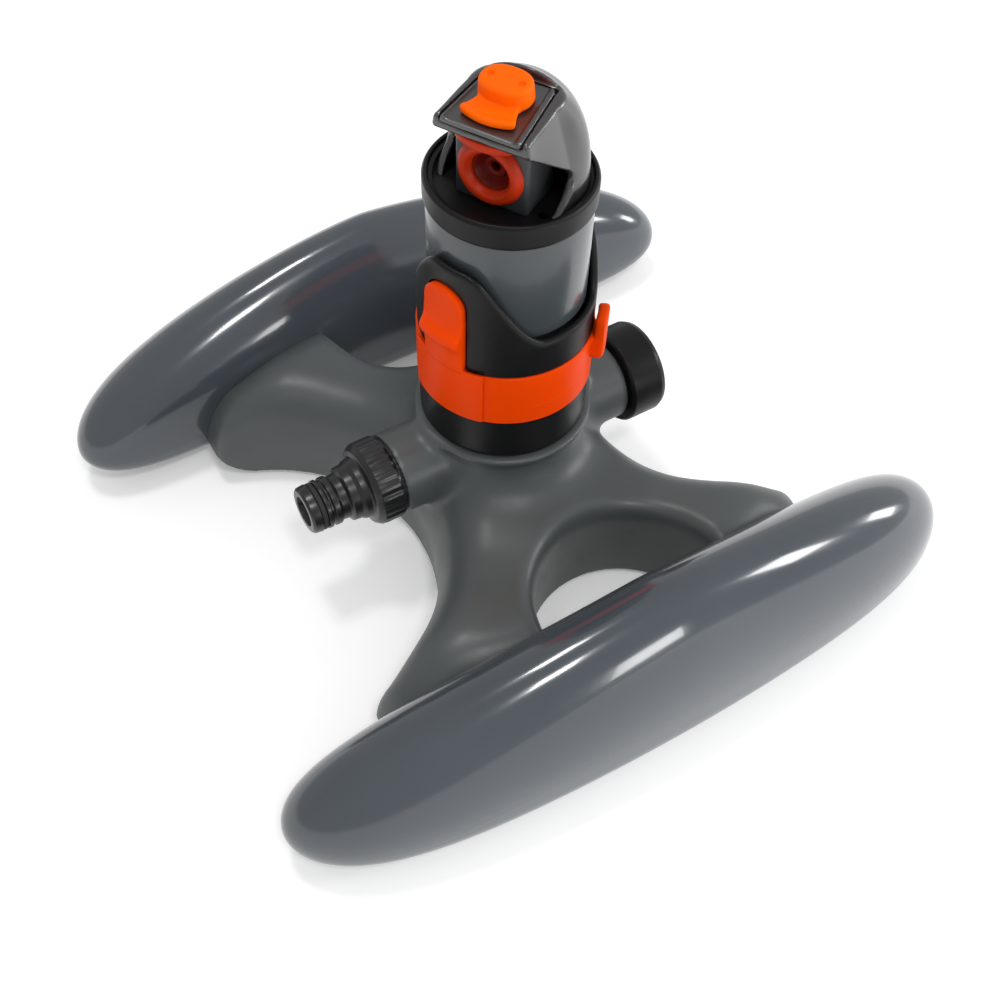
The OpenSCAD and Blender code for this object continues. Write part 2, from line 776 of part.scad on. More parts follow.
module gear_plate_lower() {
    color(white)
    difference() {
        translate([0, 0, plate_low_z]) cylinder(r = skirt_in_r, h = plate_t);
        translate([0, 0, plate_low_z - 1]) cylinder(r = pivot_r + 0.5, h = 10);
        plate_holes(plate_low_z, [pos_2, pos_3], [20, 112, 145, 345]);
    }
}

module gear_plate_upper() {
    color(white)
    difference() {
        union() {
            translate([0, 0, plate_up_z]) cylinder(r = body_in_r, h = plate_t);
            translate([0, 0, plate_up_z]) cylinder(r = 3, h = rev_z + rev_t - plate_up_z);
        }
        translate([0, 0, plate_up_z - 1]) cylinder(r = shaft_bore_r, h = 20);
        plate_holes(plate_up_z, [pos_1, pos_2, pos_3], [20, 112, 145, 345]);
    }
}

module gear_pins() {
    color(steel) {
        for (p = [pos_2, pos_3])
            translate([p[0], p[1], plate_low_z]) cylinder(r = pin_r, h = plate_up_z + plate_t - plate_low_z);
        translate([pos_1[0], pos_1[1], z_2 - 0.4]) cylinder(r = pin_r, h = plate_up_z + plate_t - z_2 + 0.4);
    }
}

module sun_gear() {
    color(white)
    gear(sun_n, az_3, z_sun, gear_t, pivot_r);
}

// The third gear rolls on the sun, the first is driven by the turbine
module gear_3() {
    color(white)
    compound(pos_3, z_sun, az_3 + 180 + 180 / pinion_n, z_3, dir(pos_3, pos_2) + 180 / wheel_n);
}

module gear_2() {
    color(white)
    compound(pos_2, z_3, dir(pos_2, pos_3), z_2, dir(pos_2, pos_1) + 180 / wheel_n);
}

module gear_1() {
    color(white)
    compound(pos_1, z_2, dir(pos_1, pos_2), z_1, az_1 + 180 + 180 / wheel_n);
}

// Turbine with its shaft and pinion
module turbine() {
    color(white) {
        gear(pinion_n, az_1, z_1, gear_t, shaft_r - 0.2);
        translate([0, 0, z_1]) cylinder(r = shaft_r, h = bridge_z + bridge_t - 0.6 - z_1);
        translate([0, 0, turbine_z]) cylinder(r = 4, h = turbine_h);
        translate([0, 0, turbine_z + turbine_h - 1.4]) cylinder(r = turbine_r, h = 1.4);
        around(turbine_n, 0)
            translate([3.5, -0.6, turbine_z]) cube([turbine_r - 4, 1.2, turbine_h - 1]);
    }
}

// Plate with two sets of jets that swings to reverse the turbine
module reversing_plate() {
    color(orange)
    difference() {
        translate([0, 0, rev_z]) cylinder(r = 17.5, h = rev_t);
        translate([0, 0, rev_z - 1]) cylinder(r = 3 + run_gap, h = 10);
        rotate([0, 0, lever_az]) translate([crank_r - 1.6, -1.3, rev_z - 1]) cube([3.2, 2.6, 10]);
        for (s = [-8, 8])
            around(5, lever_az + 60 + s) translate([12, 0, rev_z - 1]) cylinder(r = 1.2, h = 10);
    }
}

// Lever with an outer blade for the lugs, a shaft and an inner crank
module trip_lever() {
    color(orange)
    rotate([0, 0, lever_az]) {
        difference() {
            intersection() {
                translate([lever_pin_r, -blade_half_w - 0.6, lever_z]) cube([10, 2 * blade_half_w + 1.2, lever_t]);
                cylinder(r = blade_out_r, h = big);
            }
        }
        translate([lever_pin_r, 0, lever_z]) cylinder(r = 2.6, h = lever_t);
        translate([lever_pin_r, 0, lever_z]) cylinder(r = shaft_r, h = crank_z + crank_t - lever_z);
        intersection() {
            ring(blade_out_r, blade_in_r, blade_top_z - lever_z, lever_z);
            translate([0, -blade_half_w, 0]) cube([big, 2 * blade_half_w, big]);
        }
        translate([crank_r, -1.2, crank_z]) cube([lever_pin_r - crank_r, 2.4, crank_t]);
        translate([crank_r, 0, crank_z]) cylinder(r = crank_pin_r, h = rev_z + rev_t - crank_z);
    }
}

// Cup over the turbine with its upper bearing and water windows
module turbine_bridge() {
    color(white)
    difference() {
        union() {
            ring(body_in_r, body_in_r - 1.8, bridge_z + bridge_t - plate_up_z - plate_t, plate_up_z + plate_t);
            translate([0, 0, bridge_z]) cylinder(r = body_in_r - 1, h = bridge_t);
        }
        translate([0, 0, bridge_z - 1]) cylinder(r = shaft_bore_r, h = 10);
        around(6, 0) translate([12, 0, bridge_z - 1]) cylinder(r = 4, h = 10);
    }
}

// Turntable of the head with the seal groove
module head_base() {
    color(black)
    difference() {
        translate([0, 0, head_base_z]) cylinder(r = body_in_r, h = head_base_t);
        translate([0, 0, head_base_z - 1]) cylinder(r = riser_r, h = 10);
        ring(body_in_r + 4, body_in_r - 1.4, 1.8, head_base_z + 1);
        facing() around(3, 60) translate([18.6, 0, head_base_z - 1]) cylinder(r = screw_r, h = 10);
    }
}

module riser_seal() {
    color(rubber)
    ring(body_in_r, body_in_r - 1.4, 1.8, head_base_z + 1);
}

// Turns the head's own frame, x forward, into place
module facing() {
    rotate([0, 0, face_az]) children();
}

module riser_tube() {
    color(black)
    facing()
    difference() {
        union() {
            translate([0, 0, head_base_z - 2]) cylinder(r = riser_r + 2.4, h = 2);
            translate([0, 0, head_base_z - eps]) cylinder(r = riser_r, h = nozzle_z + 6.4 - head_base_z);
            translate([0, 0, nozzle_z]) rotate([0, 90, 0]) cylinder(r = 6.6, h = nozzle_back + 2);
        }
        translate([0, 0, head_base_z - 3]) cylinder(r = riser_bore_r, h = nozzle_z + 5 - head_base_z);
        translate([0, 0, nozzle_z]) rotate([0, 90, 0]) cylinder(r = riser_bore_r, h = 30);
    }
}

module dome_profile(w) {
    polygon([[0, hood_z], [hood_base_r - w, hood_z], [dome_r - 0.3 - w, 168.7], [21.6 - w, 180],
        [18.8 - w, 187.9], [15 - w, 192.6 - w / 2], [10.5 - w / 2, 196.5 - w], [5.4, 199.1 - w],
        [0, dome_top_z - w]]);
}

// Space above the visor plane, in the head's own frame
module above_visor(lift) {
    translate([visor_back_x, -30, 0])
        rotate([0, 0, 0])
            translate([visor_reach - visor_back_x, 0, visor_front_z + lift])
                rotate([0, visor_slope, 0]) translate([visor_back_x - visor_reach, 0, 0]) cube([60, 60, 40]);
}

// Hood: hollow dome with a mouth for the nozzle and a cut for the visor
module hood() {
    color(black)
    facing()
    difference() {
        rotate_extrude() dome_profile(0);
        difference() {
            rotate_extrude() translate([0, 0]) dome_profile(hood_wall);
            translate([-30, -30, hood_z - 1]) cube([60, 60, 1]);
        }
        translate([0, 0, hood_z - eps]) cylinder(r = hood_base_r - hood_wall, h = 2);
        translate([mouth_x, -mouth_half_w, hood_z - 1]) cube([40, 2 * mouth_half_w, big]);
        above_visor(-visor_t);
    }
}

module hood_screws() {
    color(steel)
    facing()
    around(3, 60) translate([18.6, 0, head_base_z - 1.6]) screw(2.8, 1.6, screw_r, head_base_t);
}

module visor_plate() {
    color(black)
    facing()
    translate([visor_reach, 0, visor_front_z])
        rotate([0, visor_slope, 0])
            translate([-visor_reach, 0, -visor_t])
                linear_extrude(visor_t)
                    difference() {
                        polygon([[visor_reach, -visor_half_w], [visor_reach, visor_half_w],
                            [visor_back_x + 0.4, visor_back_half_w], [visor_back_x + 0.4, -visor_back_half_w]]);
                        translate([knob_x - 3, -2.4]) square([slider_travel + 6, 4.8]);
                    }
}

// Slider: round knob with two dimples, tongue in front and a stem through the visor
module range_slider() {
    color(orange)
    facing()
    translate([visor_reach, 0, visor_front_z])
        rotate([0, visor_slope, 0])
            translate([-visor_reach, 0, 0.3])
                difference() {
                    union() {
                        translate([knob_x, 0, 0]) cylinder(r = knob_r, h = knob_h);
                        linear_extrude(tongue_t)
                            polygon([[knob_x, -6.5], [knob_x + 10, -6.8], [visor_reach - 4.4, -8.8],
                                [visor_reach - 3.4, 0], [visor_reach - 4.4, 8.8], [knob_x + 10, 6.8], [knob_x, 6.5]]);
                        translate([knob_x - 2, -2, -visor_t - 2.6]) cube([4, 4, 4 + visor_t]);
                        translate([knob_x - 4, -6, -visor_t - 2.6]) cube([visor_reach - knob_x + 1.5, 12, 1.6]);
                    }
                    for (e = [-1, 1]) translate([knob_x, e * 4.9, knob_h - 1]) cylinder(r = 1, h = 4);
                }
}

module nozzle_ring() {
    color(orange)
    facing()
    translate([0, 0, nozzle_z])
        rotate([0, 90, 0])
            rotate_extrude()
                polygon([[7.2, nozzle_back], [nozzle_r - 1.4, nozzle_back], [nozzle_r, nozzle_back + 2],
                    [nozzle_r, nozzle_reach - 1.8], [nozzle_r - 1.4, nozzle_reach],
                    [8.2, nozzle_reach], [7.2, nozzle_reach - 1]]);
}

module nozzle_cone() {
    color(orange)
    facing()
    translate([0, 0, nozzle_z])
        rotate([0, 90, 0])
            rotate_extrude()
                polygon([[1.5, nozzle_back + 2], [7.2, nozzle_back + 2], [7.2, nozzle_reach - 1.6],
                    [6.4, nozzle_reach - 1.6], [4.4, nozzle_back + 4.4], [3, nozzle_back + 5.4],
                    [1.5, nozzle_back + 5.4]]);
}

base_hub();
front_runner_shell();
rear_runner_shell();
front_sole();
rear_sole();
sole_screws();
inlet_adaptor();
nipple_oring();
inlet_gasket();
inlet_filter();
outlet_cap();
cap_gasket();
seat_ring();
seat_screws();
pivot_tube();
foot_oring();
foot_screws();
thrust_washer();
retaining_clip();
turret_seal();
arc_band();
arc_shroud();
arc_tab();
turret_body();
top_collar();
turret_floor();
gear_plate_lower();
gear_plate_upper();
gear_pins();
sun_gear();
gear_1();
gear_2();
gear_3();
turbine();
reversing_plate();
trip_lever();
turbine_bridge();
head_base();
riser_tube();
riser_seal();
hood();
hood_screws();
visor_plate();
range_slider();
nozzle_ring();
nozzle_cone();
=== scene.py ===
# %% [markdown]
# # A lawn sprinkler, piece by piece
# The sprinkler is a tall turning turret on a sled with two bowed runners. Every
# piece below is made in millimetres in its assembled place and then stored in
# metres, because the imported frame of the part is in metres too.

# %% Load the frame
import json
import math
import bpy
import numpy as np
from mathutils import Matrix, Vector


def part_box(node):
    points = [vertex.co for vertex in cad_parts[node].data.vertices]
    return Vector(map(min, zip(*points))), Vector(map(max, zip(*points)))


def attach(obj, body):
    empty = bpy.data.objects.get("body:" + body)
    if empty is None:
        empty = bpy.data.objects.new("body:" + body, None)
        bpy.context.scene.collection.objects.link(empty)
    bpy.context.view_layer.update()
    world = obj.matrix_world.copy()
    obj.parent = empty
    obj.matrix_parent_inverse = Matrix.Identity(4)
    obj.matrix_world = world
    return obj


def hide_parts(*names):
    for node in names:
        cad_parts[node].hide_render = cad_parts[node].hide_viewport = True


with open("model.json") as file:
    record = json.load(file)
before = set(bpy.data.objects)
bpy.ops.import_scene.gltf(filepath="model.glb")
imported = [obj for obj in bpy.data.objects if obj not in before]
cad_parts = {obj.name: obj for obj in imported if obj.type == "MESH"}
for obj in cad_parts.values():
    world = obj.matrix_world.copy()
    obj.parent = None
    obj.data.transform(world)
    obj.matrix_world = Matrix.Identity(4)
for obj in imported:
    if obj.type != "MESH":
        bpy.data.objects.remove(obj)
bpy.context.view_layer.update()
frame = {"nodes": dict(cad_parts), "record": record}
scene = bpy.context.scene
MM = 0.001

# %% [markdown]
# Places come from the frame. `node_box` gives a node's corners in millimetres, so
# a seat, a rim or a tip is read from the part and never typed twice.

# %% Read places from the frame
def node_box(node):
    low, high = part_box(node)
    return [c / MM for c in low], [c / MM for c in high]


def top_of(node):
    return node_box(node)[1][2]


def foot_of(node):
    return node_box(node)[0][2]


hub_top = foot_of("seat_ring")
seat_top = foot_of("arc_band") - 0.3
body_step = 117.0
collar_foot, collar_top = foot_of("top_collar"), top_of("top_collar")
print("hub top", hub_top, "seat top", seat_top, "collar", collar_foot, collar_top)

# %% [markdown]
# Moulded pieces have soft corners that catch a thin line of light. `rounded`
# turns each corner of an outline into an arc, and `turn` spins the outline around
# an axis, as a lathe would.

# %% A lathe with rounded corners
def rounded(outline, closed, steps=5):
    """Points of an outline (r, z, corner radius) with each corner turned into an arc."""
    points = [Vector(p[:2]) for p in outline]
    out = []
    for i, p in enumerate(points):
        radius = outline[i][2] if len(outline[i]) > 2 else 0.3
        if not closed and i in (0, len(points) - 1) or radius <= 0:
            out.append(p)
            continue
        before, after = points[i - 1] - p, points[(i + 1) % len(points)] - p
        turn_angle = before.angle(after, 0)
        if turn_angle < 0.02 or turn_angle > math.pi - 0.02:
            out.append(p)
            continue
        cut = min(radius / math.tan(turn_angle / 2), before.length * 0.48, after.length * 0.48)
        a, b = p + before.normalized() * cut, p + after.normalized() * cut
        for k in range(steps + 1):
            t = k / steps
            out.append(a * (1 - t) ** 2 + p * 2 * t * (1 - t) + b * t ** 2)
    return out


def mesh_piece(name, verts, faces, place=None, crease=40):
    mesh = bpy.data.meshes.new(name)
    mesh.from_pydata([tuple(v) for v in verts], [], faces)
    if place is not None:
        mesh.transform(place)
    mesh.transform(Matrix.Scale(MM, 4))
    mesh.validate()
    mesh.shade_smooth()
    mesh.set_sharp_from_angle(angle=math.radians(crease))
    piece = bpy.data.objects.new(name, mesh)
    scene.collection.objects.link(piece)
    return piece


def turn(name, outline, sides=160, closed=False, wave=None, place=None):
    """Spins an outline around Z. An open outline starts and ends on the axis."""
    profile = rounded(outline, closed)
    verts, faces, rings = [], [], []
    for k, p in enumerate(profile):
        if p.x < 1e-6:
            rings.append([len(verts)])
            verts.append((0, 0, p.y))
            continue
        ring = []
        for i in range(sides):
            a = 2 * math.pi * i / sides
            r = p.x + (wave(a, p.x, p.y) if wave else 0)
            ring.append(len(verts))
            verts.append((r * math.cos(a), r * math.sin(a), p.y))
        rings.append(ring)
    pairs = list(zip(rings, rings[1:])) + ([(rings[-1], rings[0])] if closed else [])
    for low, high in pairs:
        for i in range(sides):
            j = (i + 1) % sides
            if len(low) == 1 and len(high) == 1:
                continue
            if len(low) == 1:
                faces.append((low[0], high[j], high[i]))
            elif len(high) == 1:
                faces.append((low[i], low[j], high[0]))
            else:
                faces.append((low[i], low[j], high[j], high[i]))
    return mesh_piece(name, verts, faces, place)


# %% [markdown]
# The organic pieces have no straight outline to spin. They are described as a
# field: a function that is negative inside the material and positive outside.
# Two fields can melt together with a fillet (`melt`) or cut each other with a
# rounded edge (`keep`). `carve` samples the field on a grid, puts one vertex in
# every cell the surface passes through, and then slides each vertex exactly onto
# the surface, so highlights stay smooth.

# %% Fields and the carver
def melt(a, b, k):
    h = np.clip(0.5 + 0.5 * (b - a) / k, 0, 1)
    return b + (a - b) * h - k * h * (1 - h)


def keep(a, b, k):
    return -melt(-a, -b, k)


def block(u, v, half_u, half_v, corner):
    qu, qv = np.abs(u) - half_u + corner, np.abs(v) - half_v + corner
    return np.hypot(np.maximum(qu, 0), np.maximum(qv, 0)) + np.minimum(np.maximum(qu, qv), 0) - corner


def detail(fine):
    return fine


def carve(name, field, low, high, cell, ring=False, place=None, to_space=None):
    """Mesh of field < 0 in a box. ring: the second axis closes on itself."""
    low, high = np.array(low, float), np.array(high, float)
    counts = np.maximum(2, np.round((high - low) / cell)).astype(int)
    step = (high - low) / counts
    lines = [low[i] + step[i] * np.arange(counts[i] + 1) for i in range(3)]
    value = field(lines[0][:, None, None], lines[1][None, :, None], lines[2][None, None, :])
    value = np.ascontiguousarray(np.broadcast_to(value, counts + 1)).astype(np.float64)
    value[np.abs(value) < 1e-9] = 1e-9
    if ring:
        value[:, -1] = value[:, 0]
    inside = value < 0
    nx, ny, nz = counts
    spot = [(i, j, k) for i in (0, 1) for j in (0, 1) for k in (0, 1)]
    total = sum(inside[i:i + nx, j:j + ny, k:k + nz].astype(np.int8) for i, j, k in spot)
    cells = np.argwhere((total > 0) & (total < 8))
    number = np.full((nx, ny, nz), -1)
    number[tuple(cells.T)] = np.arange(len(cells))
    gathered, crossings = np.zeros((len(cells), 3)), np.zeros(len(cells))
    for a in spot:
        for axis in range(3):
            if a[axis]:
                continue
            b = list(a)
            b[axis] = 1
            va = value[tuple((cells + a).T)]
            vb = value[tuple((cells + b).T)]
            hit = (va < 0) != (vb < 0)
            t = np.where(hit, va / np.where(hit, va - vb, 1), 0)
            at = np.array(a, float)[None, :] + t[:, None] * (np.array(b) - np.array(a))[None, :]
            gathered += at * hit[:, None]
            crossings += hit
    verts = low + (cells + gathered / crossings[:, None]) * step
    for _ in range(4):
        x, y, z = verts.T
        f = field(x, y, z)
        e = 0.02
        g = np.stack([field(x + e, y, z) - field(x - e, y, z), field(x, y + e, z) - field(x, y - e, z),
                      field(x, y, z + e) - field(x, y, z - e)], 1) / (2 * e)
        move = -f[:, None] * g / np.maximum((g * g).sum(1), 0.05)[:, None]
        size = np.linalg.norm(move, axis=1, keepdims=True)
        verts = verts + move * np.minimum(1, 0.45 * cell / np.maximum(size, 1e-9))
        verts = np.clip(verts, low + (cells - 0.05) * step, low + (cells + 1.05) * step)
    quads = []
    for axis in range(3):
        u, v = (axis + 1) % 3, (axis + 2) % 3
        sa = [slice(None)] * 3
        sb = [slice(None)] * 3
        sa[axis], sb[axis] = slice(0, -1), slice(1, None)
        start, end = inside[tuple(sa)], inside[tuple(sb)]
        edges = np.argwhere(start != end)
        if not (ring and axis != 1):
            edges = edges[(edges[:, u] > 0) & (edges[:, v] > 0)]
        else:
            other = u if v == 1 else v
            edges = edges[(edges[:, other] > 0) & (edges[:, 1] < ny)]
        edges = edges[(edges[:, u] < counts[u]) & (edges[:, v] < counts[v])]
        corner = []
        for du, dv in ((1, 1), (0, 1), (0, 0), (1, 0)):
            at = edges.copy()
            at[:, u] -= du
            at[:, v] -= dv
            if ring:
                at[:, 1] %= ny
            corner.append(number[tuple(at.T)])
        quad = np.stack(corner, 1)
        outward = start[tuple(edges.T)]
        quad[~outward] = quad[~outward][:, ::-1]
        quads.append(quad[(quad >= 0).all(1)])
    faces = np.concatenate(quads).tolist()
    if to_space:
        verts = np.stack(to_space(*verts.T), 1)
    return mesh_piece(name, verts.tolist(), faces, place)


def rolled(radius):
    """Turns (r, arc length, z) of an unrolled sheet back into a round one."""
    return lambda r, s, z: (r * np.cos(s / radius), r * np.sin(s / radius), z)


# %% [markdown]
# A finished piece takes a material, rides on the body it moves with and stands for its CAD node.

# %% Fit a piece
def fit(piece, material, body, slot, *nodes):
    piece.data.materials.clear()
    piece.data.materials.append(material)
    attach(piece, body)
    if nodes:
        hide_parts(*nodes)
    print(f"{piece.name}: {len(piece.data.polygons)} faces, rides on {body}")
    return piece


# %% [markdown]
# Moulded plastic is never one flat colour. The pigment clouds a little, the skin
# has a faint orange peel from the mould, and handling leaves fine dull patches.
# One helper builds that and each finish chooses its own strengths.

# %% Plastic finish
def plastic(name, colour, rough, coat=0.0, cloud=0.06, peel=0.02, grain=900.0, wear=0.12, coat_rough=0.08,
            spec=0.5):
    material = bpy.data.materials.new(name)
    material.use_nodes = True
    nodes, links = material.node_tree.nodes, material.node_tree.links
    shader = nodes["Principled BSDF"]
    shader.inputs["Coat Weight"].default_value = coat
    shader.inputs["Coat Roughness"].default_value = coat_rough
    shader.inputs["Specular IOR Level"].default_value = spec
    where = nodes.new("ShaderNodeTexCoord")
    mist = nodes.new("ShaderNodeTexNoise")
    mist.inputs["Scale"].default_value = 28.0
    mist.inputs["Detail"].default_value = 5.0
    links.new(where.outputs["Object"], mist.inputs["Vector"])
    tint = nodes.new("ShaderNodeValToRGB")
    tint.color_ramp.elements[0].position = 0.3
    tint.color_ramp.elements[1].position = 0.7
    tint.color_ramp.elements[0].color = (*[c * (1 - cloud) for c in colour], 1)
    tint.color_ramp.elements[1].color = (*[min(1, c * (1 + cloud)) for c in colour], 1)
    links.new(mist.outputs["Fac"], tint.inputs["Fac"])
    links.new(tint.outputs["Color"], shader.inputs["Base Color"])
    handled = nodes.new("ShaderNodeTexNoise")
    handled.inputs["Scale"].default_value = 75.0
    handled.inputs["Detail"].default_value = 8.0
    handled.inputs["Roughness"].default_value = 0.65
    links.new(where.outputs["Object"], handled.inputs["Vector"])
    dull = nodes.new("ShaderNodeMapRange")
    dull.inputs["From Min"].default_value = 0.35
    dull.inputs["From Max"].default_value = 0.75
    dull.inputs["To Min"].default_value = rough
    dull.inputs["To Max"].default_value = min(1.0, rough + wear)
    links.new(handled.outputs["Fac"], dull.inputs["Value"])
    links.new(dull.outputs["Result"], shader.inputs["Roughness"])
    skin = nodes.new("ShaderNodeTexNoise")
    skin.inputs["Scale"].default_value = grain
    skin.inputs["Detail"].default_value = 2.0
    links.new(where.outputs["Object"], skin.inputs["Vector"])
    bump = nodes.new("ShaderNodeBump")
    bump.inputs["Strength"].default_value = peel
    bump.inputs["Distance"].default_value = 0.0004
    links.new(skin.outputs["Fac"], bump.inputs["Height"])
    links.new(bump.outputs["Normal"], shader.inputs["Normal"])
    return material


gloss_grey = plastic("gloss_blue_grey", (0.053, 0.0635, 0.076), 0.15, coat=0.4, cloud=0.05, peel=0.003,
                     grain=120.0, wear=0.05, coat_rough=0.05)
satin_grey = plastic("satin_grey", (0.064, 0.073, 0.073), 0.36, cloud=0.05, peel=0.05, grain=1400.0)
turret_grey = plastic("turret_grey", (0.043, 0.051, 0.055), 0.24, coat=0.3, cloud=0.05, peel=0.0015,
                      grain=200.0, wear=0.02)
satin_black = plastic("satin_black", (0.0045, 0.0045, 0.0052), 0.34, cloud=0.15, peel=0.02, grain=1500.0,
                      spec=0.22)
gloss_black = plastic("gloss_black", (0.006, 0.0062, 0.007), 0.28, coat=0.05, cloud=0.1, peel=0.02,
                      grain=500.0)
charcoal = plastic("charcoal", (0.03, 0.033, 0.036), 0.38, cloud=0.1, peel=0.03, grain=1200.0)
gunmetal = plastic("gunmetal_gloss", (0.02, 0.0175, 0.018), 0.3, coat=0.55, cloud=0.08, peel=0.0015,
                   grain=200.0, wear=0.04, coat_rough=0.17, spec=0.75)
bright_orange = plastic("bright_orange", (0.98, 0.125, 0.0), 0.4, cloud=0.04, peel=0.01, spec=0.06)
red_orange = plastic("red_orange", (0.8, 0.054, 0.0), 0.34, cloud=0.05, peel=0.01, spec=0.05)
# a darker copy of the red-orange: painted shade for the nozzle ring and the lip, which sit under the visor
shaded_red_orange = plastic("shaded_red_orange", (0.42, 0.024, 0.003), 0.36, cloud=0.06, peel=0.01, spec=0.15)
deep_orange = plastic("deep_orange", (0.12, 0.004, 0.0), 0.4, cloud=0.08, peel=0.02, spec=0.2)
acetal = plastic("white_acetal", (0.74, 0.74, 0.70), 0.4, cloud=0.03, peel=0.03)
rubber = plastic("black_rubber", (0.018, 0.018, 0.018), 0.7, cloud=0.2, peel=0.1)
print("plastics ready")

# %% [markdown]
# The screws, pins and the clip are stainless steel: a metal with fine turning
# marks, so its roughness runs in tight bands instead of clouds.

# %% Steel finish
def steel_finish(name, colour):
    material = bpy.data.materials.new(name)
    material.use_nodes = True
    nodes, links = material.node_tree.nodes, material.node_tree.links
    shader = nodes["Principled BSDF"]
    shader.inputs["Base Color"].default_value = (*colour, 1)
    shader.inputs["Metallic"].default_value = 1.0
    where = nodes.new("ShaderNodeTexCoord")
    marks = nodes.new("ShaderNodeTexWave")
    marks.inputs["Scale"].default_value = 900.0
    marks.inputs["Distortion"].default_value = 3.0
    marks.inputs["Detail"].default_value = 3.0
    links.new(where.outputs["Object"], marks.inputs["Vector"])
    polish = nodes.new("ShaderNodeMapRange")
    polish.inputs["To Min"].default_value = 0.22
    polish.inputs["To Max"].default_value = 0.4
    links.new(marks.outputs["Fac"], polish.inputs["Value"])
    links.new(polish.outputs["Result"], shader.inputs["Roughness"])
    bump = nodes.new("ShaderNodeBump")
    bump.inputs["Strength"].default_value = 0.1
    bump.inputs["Distance"].default_value = 0.0001
    links.new(marks.outputs["Fac"], bump.inputs["Height"])
    links.new(bump.outputs["Normal"], shader.inputs["Normal"])
    return material


steel = steel_finish("stainless_steel", (0.62, 0.61, 0.6))
black_steel = steel_finish("blackened_steel", (0.03, 0.03, 0.03))
print("steel ready")

# %% [markdown]
# A runner is a long pontoon. Seen from above it bows outward, and its inner side
# is flattened where the arms join it. Seen from the side it rises to its middle
# like an airship and sinks to round tips. A tube of cross-sections gives even
# quads that follow those curves, which keeps the gloss clean.

# %% Runner shape
half_len, _, runner_h = node_box("rear_runner_shell")[1]
belly = 17.0
half_w = 23.4
mid_line = 96.6
bow = 10.5
land = 76.0
land_softness = 2.0
sole_h = top_of("rear_sole")


def runner_section(s, angle):
    """Cross-section point (y, z) at s, which runs from -1 to 1 along the runner."""
    k = math.sqrt(max(0.0, 1 - abs(s) ** 6))
    kz = math.sqrt(max(0.0, 1 - abs(s) ** 1.35))
    # near the tip the section closes like a ball
    y = mid_line + bow * (0.5 - s * s) + half_w * k * math.cos(angle)
    rise = (runner_h - belly) * kz if math.sin(angle) > 0 else (belly + 1) * k
    z = belly + rise * math.sin(angle)
    y = land + land_softness * math.log1p(math.exp((y - land) / land_softness))
    return y, z


def runner_piece(name, side):
    stations, around = 120, 88
    verts, faces = [], []
    for i in range(stations + 1):
        s = math.sin(math.pi / 2 * (2 * i / stations - 1)) * 0.99985
        for j in range(around):
            y, z = runner_section(s, 2 * math.pi * j / around)
            verts.append((s * half_len, side * y, max(z, sole_h + 0.05)))
    for i in range(stations):
        for j in range(around):
            a, b = i * around + j, i * around + (j + 1) % around
            c, d = b + around, a + around
            faces.append((a, b, c, d) if side < 0 else (a, d, c, b))
    for end in (0, stations):
        cap = [end * around + j for j in range(around)]
        flip = (end == 0) == (side > 0)
        faces.append(cap if flip else cap[::-1])
    return mesh_piece(name, verts, faces)


for side, label in ((-1, "front"), (1, "rear")):
    shell = runner_piece(f"{label}_runner", side)
    fit(shell, gloss_grey, "base", "gloss_grey", f"{label}_runner_shell")

# %% [markdown]
# The hub is the part that a mould maker would sculpt: a waisted column that
# spreads into four arms, two for each runner, with a round window between each
# pair and a port stub on each side. It is one field: a spread cone kept inside
# the plan of the arms, melted with the stubs, and hollow from below.

# %% Hub shape
port_z = 47.3
port_r = 15.0
shoulder = 46.6
hub_wall = 3.2
column_r, lip_flare = 27.6, 4.0
spigot_r, spigot_end = 12.9, 55.6
bore_r = 8
saddle_r = [0, 26, 30.5, 34, 40, 52, 64, 76, 88, 96, 106, 118, 135]
saddle_z = [54, 52.5, 49.5, 46.8, 43.6, 41.0, 41.0, 42.6, 43.6, 41.6, 35.4, 28.5, 24]


def arm_plan(x, y):
    """Distance to the plan of the four arms, whose ends are sunk into the runners."""
    edge = block(x, y, 89.5, 92, 9)
    for e in (-1, 1):
        edge = keep(edge, 65.3 - np.hypot(x - e * 102.3, y), 4)
    return edge


def windows(x, y):
    """Positive inside the two round windows between the arms."""
    return 34.5 - np.hypot(x - 4, np.abs(y) - 82)


# height of the hub over its radius: steep at the column, a saddle over the arms,
# then down to their ends; the corners of the line are averaged away
radii = np.arange(-20, 160, 0.5)
height_line = np.interp(np.abs(radii), saddle_r, saddle_z)
blur = np.exp(-(np.arange(-12, 12.5, 0.5) / 4.5) ** 2)
height_line = np.convolve(np.pad(height_line, 24, mode="edge"), blur / blur.sum(), mode="valid")


def spread(r, z):
    """Positive above the turned envelope of the hub."""
    return (z - np.interp(r, radii, height_line)) * 0.8


